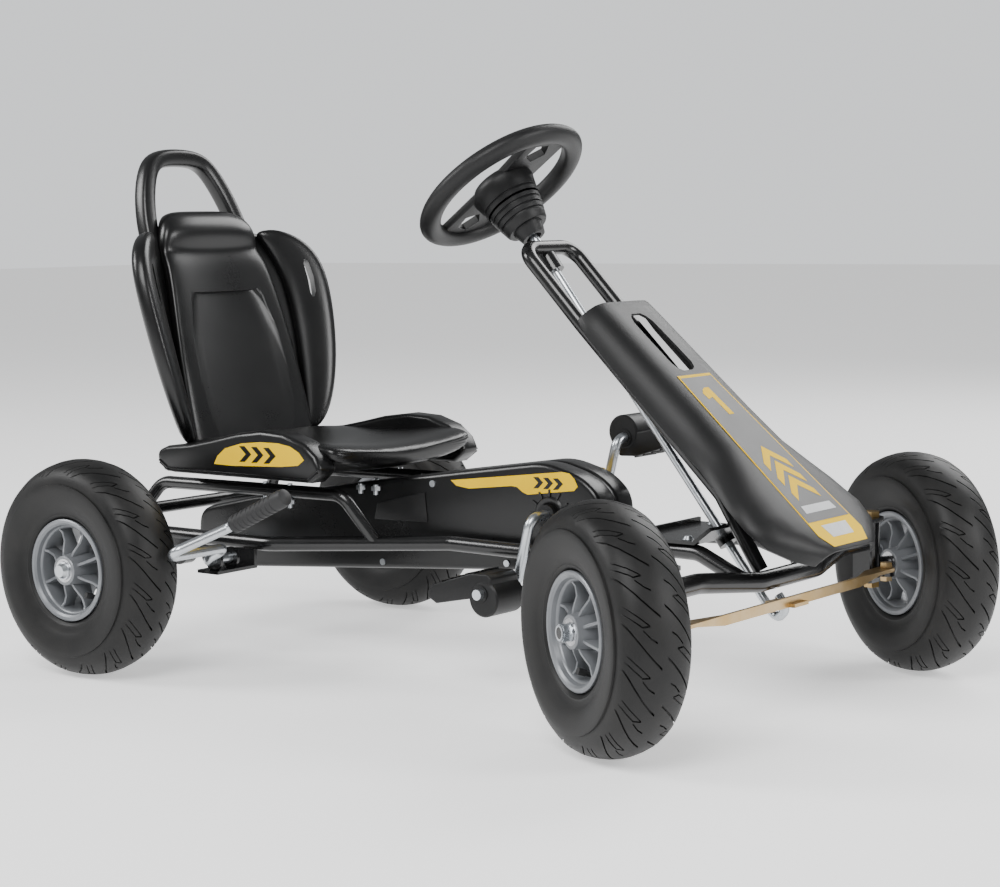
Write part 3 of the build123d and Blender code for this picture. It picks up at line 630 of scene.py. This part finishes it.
ridge_sticker(
    "nose_sticker_edge", [(676, -33), (676, 33), (860, 47), (873, 36), (873, -36), (860, -47)],
    0.05, sticker_yellow,
)
ridge_sticker(
    "nose_sticker_field", [(679, -31), (679, 31), (846, 43.8), (846, -43.8)], 0.25, sticker_black,
)
one_shape = [
    (692, -4), (692, 4.5), (724, 7), (724, -3), (703, -4.5), (705, -14), (698, -15.5), (694, -10),
]
ridge_sticker("nose_number", one_shape, 0.45, sticker_yellow)
for index in range(3):
    peak = 762 + 17 * index
    chevron = [
        (peak, 0), (peak + 18, -24), (peak + 27, -24), (peak + 11, 0), (peak + 27, 24),
        (peak + 18, 24),
    ]
    ridge_sticker(f"nose_chevron_{index}", chevron, 0.45, sticker_yellow)
ridge_sticker("nose_bar", [(829, -30), (829, 30), (837, 32), (837, -32)], 0.45, sticker_grey)
ridge_sticker("nose_tag", [(851, -26), (851, 26), (864, 22), (864, -22)], 0.45, sticker_grey)

# ---- steering wheel --------------------------------------------------------------
# Moulded satin black plastic over a steel core: a thick rim, a broad pocketed
# spoke to each side, and a deep tapered hub with vent grooves that takes the
# column in a collar.

# The column runs forwards and down from the steering wheel to its foot.
turn_axis = Vector((0.613907, 0, -0.789381))
wheel_centre = joints["steering_turn"] / mm
column_turn = turn_axis.to_track_quat("Y", "X").to_matrix().to_4x4()
steer_place = Matrix.Translation(wheel_centre * mm) @ column_turn
rim_radius = 95.3
rim_half_width = 12.6
rim_half_height = 11.2
rim_swell = 0.05
rim_points = 24
rim_profile = []
for index in range(rim_points):
    turn = 2 * math.pi * index / rim_points
    swell = 1 + rim_swell * math.cos(3 * turn)
    outwards = rim_half_width * swell * math.cos(turn)
    rim_profile.append((rim_radius + outwards, rim_half_height * math.sin(turn)))
steering_rim = lathe("steering_rim", rim_profile + rim_profile[:1], 96)
hub_line = [
    (0, -8), (28, -8), (33, -6), (38, 0), (39, 6), (36.5, 16), (33.5, 30), (30, 46), (26, 60),
    (24, 62.5), (5.05, 62.5), (5.05, 30), (0, 30),
]
steering_hub = lathe("steering_hub", hub_line, 64)
for index in range(5):
    ring = 22 + index * 7
    radius = 36.4 - index * 1.75
    ring_cut = lathe(
        "vent",
        [
            (radius - 2.2, ring), (radius + 6, ring), (radius + 6, ring + 2.6),
            (radius - 2.2, ring + 2.6), (radius - 2.2, ring),
        ],
        64,
    )
    cut(steering_hub, ring_cut)
web_outline = [
    (-24, -22), (-20, 25), (20, 33), (56, 36), (84, 38), (90, 10), (88, -30), (60, -28), (26, -26),
]
steering_parts = [steering_rim, steering_hub]
for side in (1, -1):
    outline = [(x * side, -6, z) for x, z in web_outline]
    spoke = panel("spoke", outline, (0, 9, 0))
    modify(
        spoke, "BEVEL", width=2 * mm, segments=3, limit_method="ANGLE",
        angle_limit=math.radians(50),
    )
    pocket_outline = [
        (side * 48, -7, 4), (side * 62, -7, 17), (side * 78, -7, 8), (side * 74, -7, -12),
        (side * 56, -7, -14),
    ]
    cut(spoke, panel("pocket", pocket_outline, (0, 12, 0)))
    steering_parts.append(spoke)
steering = joined(steering_parts)
steering.data.transform(steer_place)
finished(steering, "steering", satin_black, ["steering_wheel"], 35)

# ---- chain case -------------------------------------------------------------------
# Two blow-moulded halves of gloss black plastic, screwed together round the
# chain. A yellow sticker runs along each side under the top edge, and ribbed
# bosses carry the crank.

case_outline = [
    (-66, 92), (470, 132), (545, 140), (574, 168), (574, 222), (546, 246), (493, 260), (345, 239),
    (40, 192), (-52, 172), (-66, 158),
]
case_half = abs(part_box("chain_case_right")[0][1]) / mm


def rounded_outline(corners, radius, steps=4):
    """The outline with each corner cut back by radius and rounded in steps."""
    points = []
    for index, corner in enumerate(corners):
        here = Vector(corner)
        back = Vector(corners[index - 1]) - here
        ahead = Vector(corners[(index + 1) % len(corners)]) - here
        back *= min(radius / back.length, 0.45)
        ahead *= min(radius / ahead.length, 0.45)
        for step in range(steps + 1):
            t = step / steps
            points.append(here + back * (1 - t) ** 2 + ahead * t * t)
    return points


case_line = rounded_outline(case_outline, 19, 6)
axle_place = Vector((0, 0, 130))
crank_place = Vector((503, 0, 200))
pad_line = [(238, 176), (243, 196), (318, 214), (322, 178)]
for side, name in ((-1, "right"), (1, "left")):
    face = side * case_half
    half = panel(
        f"chain_case_{name}_shell", [(x, 0, z) for x, z in case_line],
        (0, side * (case_half - 0.2), 0),
    )
    modify(
        half, "BEVEL", width=6 * mm, segments=4, limit_method="ANGLE", angle_limit=math.radians(60),
    )
    for place, bore in ((axle_place, 13.5), (crank_place, 11.9)):
        hole = lathe("hole", [(0, -60), (bore, -60), (bore, 60), (0, 60)], 40)
        hole.data.transform(Matrix.Translation(place * mm))
        cut(half, hole)
    parts = [half]
    ring = lathe(
        "boss", [(12, 24), (21, 24), (21, 35.5), (19, 37.5), (14, 37.5), (12, 36)] + [(12, 24)], 48,
    )
    ring.data.transform(Matrix.Translation(crank_place * mm) @ Matrix.Scale(side, 4, (0, 1, 0)))
    if side < 0:
        ring.data.flip_normals()
    parts.append(ring)
    for index in range(12):
        rib = Matrix.Rotation(math.radians(30 * index), 4, "Y")
        block = skin(
            "rib",
            [
                oval(Vector((25, y * side, 0)), forward, up, 4.5, 1.2, 4, count=8)
                for y in (33, 36.6)
            ],
        )
        block.data.transform(Matrix.Translation(crank_place * mm) @ rib)
        parts.append(block)
    finished(joined(parts), "frame", gloss_black, [f"chain_case_{name}"], 40)
    flat = panel(
        f"chain_case_{name}_pad", [(x, face - side * 0.3, z) for x, z in pad_line],
        (0, side * 1.6, 0),
    )
    modify(
        flat, "BEVEL", width=0.8 * mm, segments=2, limit_method="ANGLE",
        angle_limit=math.radians(50),
    )
    finished(flat, "frame", satin_black)
    band = [
        (358, 231), (520, 250.2), (531, 249), (538, 243), (542.5, 234.5), (537.5, 229.5),
        (471.5, 221), (464, 223.5), (456, 229),
        (448, 229.6), (385, 222.6), (366, 225),
    ]
    sticker = panel(
        f"{name}_case_sticker", [(x, face - side * 0.3, z) for x, z in band], (0, side * 0.6, 0),
    )
    finished(sticker, "frame", sticker_yellow)
    for start in (480, 494, 508):
        bar = [
            (start, 229), (start + 7, 229.6), (start + 14, 236.5), (start + 7, 242.5), (start, 242),
            (start + 7, 236),
        ]
        mark = panel(
            f"{name}_case_mark_{start}", [(x, face + side * 0.2, z) for x, z in bar],
            (0, side * 0.4, 0),
        )
        finished(mark, "frame", sticker_black)

# ---- pedals --------------------------------------------------------------------
# Each pedal is a ribbed wedge of black plastic with a round weight behind its
# spindle, so that its tread always hangs the right way up.

pedal_half = 25.0
slab_outline = [
    (14, 18), (8, 23), (-16, 22), (-70, 5), (-78, -3), (-77, -11), (-66, -17), (-16, -7), (14, -4),
]
drum_place = Vector((3, 0, -6))
drum_profile = [(0, -26), (18.5, -26), (20.5, -24), (20.5, 24), (18.5, 26), (0, 26)]


def pedal_shape():
    """A pedal about its spindle, along the Y axis."""
    slab = panel("pedal", [(x, -pedal_half, z) for x, z in slab_outline], (0, 2 * pedal_half, 0))
    modify(
        slab, "BEVEL", width=2 * mm, segments=3, limit_method="ANGLE", angle_limit=math.radians(40),
    )
    cut(
        slab,
        panel(
            "end_slot", [(-84, -12, -8), (-70, -12, -8), (-70, -12, -3), (-84, -12, -3)],
            (0, 24, 0),
        ),
    )
    drum = lathe("drum", drum_profile, 48)
    drum.data.transform(Matrix.Translation(drum_place * mm))
    parts = [slab, drum]
    for x in (-12, -24, -36, -48, -60):
        top = 22 + (x + 16) * 0.315 if x < -16 else 22.3
        rib_ends = [oval(Vector((x, y, top)), forward, up, 1.3, 1.8, 3, count=8) for y in (-22, 22)]
        parts.append(skin("rib", rib_ends))
    for side in (-1, 1):
        ring = lathe(
            "spindle_ring", [(6.1, 25.8), (9.5, 25.8), (9.5, 27), (6.1, 27), (6.1, 25.8)], 32,
        )
        ring.data.transform(Matrix.Rotation(math.pi * (side < 0), 4, "Z"))
        parts.append(ring)
    return joined(parts)


pedal = pedal_shape()
for side, name in ((-1, "right"), (1, "left")):
    low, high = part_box(f"{name}_pedal")
    spindle = joints[f"{name}_pedal_spin"]
    place = Matrix.Translation(Vector((spindle.x, (low[1] + high[1]) / 2, spindle.z)))
    if side > 0:
        place = place @ Matrix.Rotation(math.pi, 4, "Y")
    piece = copy_of(pedal, f"{name}_pedal_moulding", place)
    finished(piece, f"{name}_pedal", satin_black, [f"{name}_pedal"], 35)
bpy.data.objects.remove(pedal)

# ---- brake grip -----------------------------------------------------------------
# A tapered grip of soft black plastic pushed onto the brake lever's end, with
# rings moulded round it.

grip_rubber = moulded(
    "soft black grip", (0.009, 0.009, 0.0095), (0.017, 0.017, 0.018), 0.5, 0.62, 1100.0, 0.25,
)
grip_line = [(6.05, 0), (9.5, 0), (11, 2)]
for index in range(9):
    start = 8 + index * 8
    grip_line += [(10.9, start), (9.9, start + 1), (9.9, start + 2.4), (10.9, start + 3.4)]
grip_line += [(11, 84), (9.8, 90), (6, 92), (0, 92), (0, 78.3), (6.05, 78.3), (6.05, 0)]
grip = lathe("brake_grip_moulding", grip_line, 40)
grip_from = 10
lever_start = Vector((182, -232, 184))
lever_end = Vector((262, -232, 221))
lever_line = (lever_end - lever_start).normalized()
grip_turn = lever_line.to_track_quat("Y", "Z").to_matrix().to_4x4()
grip_place = Matrix.Translation((lever_start + lever_line * grip_from) * mm) @ grip_turn
grip.data.transform(grip_place)
finished(grip, "brake", grip_rubber, ["brake_grip"], 35)

# ---- camera, light and floor -------------------------------------------------
# A long lens stands low in front of the kart's right front corner. The floor and
# the backdrop are pale, and four soft lamps stand round the kart.

eye = Vector((2.004, -2.089, 0.538))
azimuth = math.radians(37.429)
elevation = math.radians(5.73)
roll = math.radians(-0.708)
pitch = math.pi / 2 - elevation
aim = Matrix.Rotation(azimuth, 3, "Z") @ Matrix.Rotation(pitch, 3, "X") @ Matrix.Rotation(
    roll, 3, "Z",
)
bpy.ops.object.camera_add(location=eye, rotation=aim.to_euler())
camera = bpy.context.object
camera.data.lens = 80.3
camera.data.sensor_width = 36
camera.data.clip_end = 100
bpy.context.scene.camera = camera

bpy.ops.mesh.primitive_plane_add(size=40, location=(0, 0, -0.0005))
floor = bpy.context.object
floor.name = "floor"
floor_finish, floor_surface = shader("pale floor", (0.86, 0.86, 0.86), 0.7, specular=0.2)[:2]
floor_surface.inputs["Emission Color"].default_value = (1, 1, 1, 1)
floor_surface.inputs["Emission Strength"].default_value = 0.62
floor.data.materials.append(floor_finish)

world = bpy.data.worlds.new("studio")
bpy.context.scene.world = world
world.use_nodes = True
studio = Wire(world.node_tree)
backdrop = world.node_tree.nodes["Background"]
backdrop.inputs["Color"].default_value = (0.96, 0.98, 1.0, 1)
seen = studio.node("ShaderNodeLightPath")
strength = seen * 0.75 + 0.3
world.node_tree.links.new(strength.socket, backdrop.inputs["Strength"])
middle = Vector((0.4, 0, 0.3))
soft_lamps = [
    ((1.6, -3.2, 3.4), 2.2, 170),
    ((-2.6, -2.2, 2.6), 1.6, 110),
    ((0.6, 3.4, 2.8), 2.4, 110),
    ((3.6, 0.6, 1.6), 1.2, 60),
]
for place, size, power in soft_lamps:
    bpy.ops.object.light_add(type="AREA", location=place)
    lamp = bpy.context.object
    lamp.data.size = size
    lamp.data.energy = power
    lamp.rotation_euler = (Vector(place) - middle).to_track_quat("Z", "Y").to_euler()

# ---- frame and metal parts shown as built ---------------------------------------
# The welded tubes are powder coated gloss black; axles, bars and bolts are zinc
# plated bright or yellow, and the chain is oiled steel.

frame_paint = moulded(
    "black powder coat", (0.003, 0.003, 0.0032), (0.007, 0.007, 0.0072), 0.2, 0.3, 500.0, 0.15,
    blotch=14.0, coat=0.2,
)
bright_zinc = moulded(
    "bright zinc plate", (0.5, 0.53, 0.56), (0.66, 0.68, 0.7), 0.22, 0.36, 420.0, 0.05, blotch=30.0,
    metallic=0.95,
)
yellow_zinc = moulded(
    "yellow passivated zinc", (0.5, 0.33, 0.13), (0.6, 0.45, 0.26), 0.26, 0.4, 420.0, 0.05,
    blotch=22.0, metallic=0.9,
)
chain_steel = moulded(
    "oiled steel", (0.1, 0.095, 0.09), (0.22, 0.21, 0.2), 0.32, 0.5, 500.0, 0.1, blotch=60.0,
    metallic=0.9,
)
bearing_steel = moulded(
    "bearing steel", (0.45, 0.45, 0.46), (0.6, 0.6, 0.62), 0.2, 0.3, 500.0, 0.03, blotch=60.0,
    metallic=0.95,
)
finishes = {
    "tyre_rubber": tyre_rubber, "rim_silver": rim_silver, "bearing_steel": bearing_steel,
    "valve_black": grip_rubber,
    "frame_paint": frame_paint, "knuckle_paint": frame_paint, "yellow_zinc": yellow_zinc,
    "bright_zinc": bright_zinc,
    "chain_steel": chain_steel, "gloss_black": gloss_black, "satin_black": satin_black,
    "pedal_black": satin_black,
    "grip_rubber": grip_rubber,
}
for part in frame["record"]["subparts"]:
    mesh = frame["nodes"][part["node"]].data
    mesh.materials.clear()
    mesh.materials.append(finishes[part["material_slot"]])
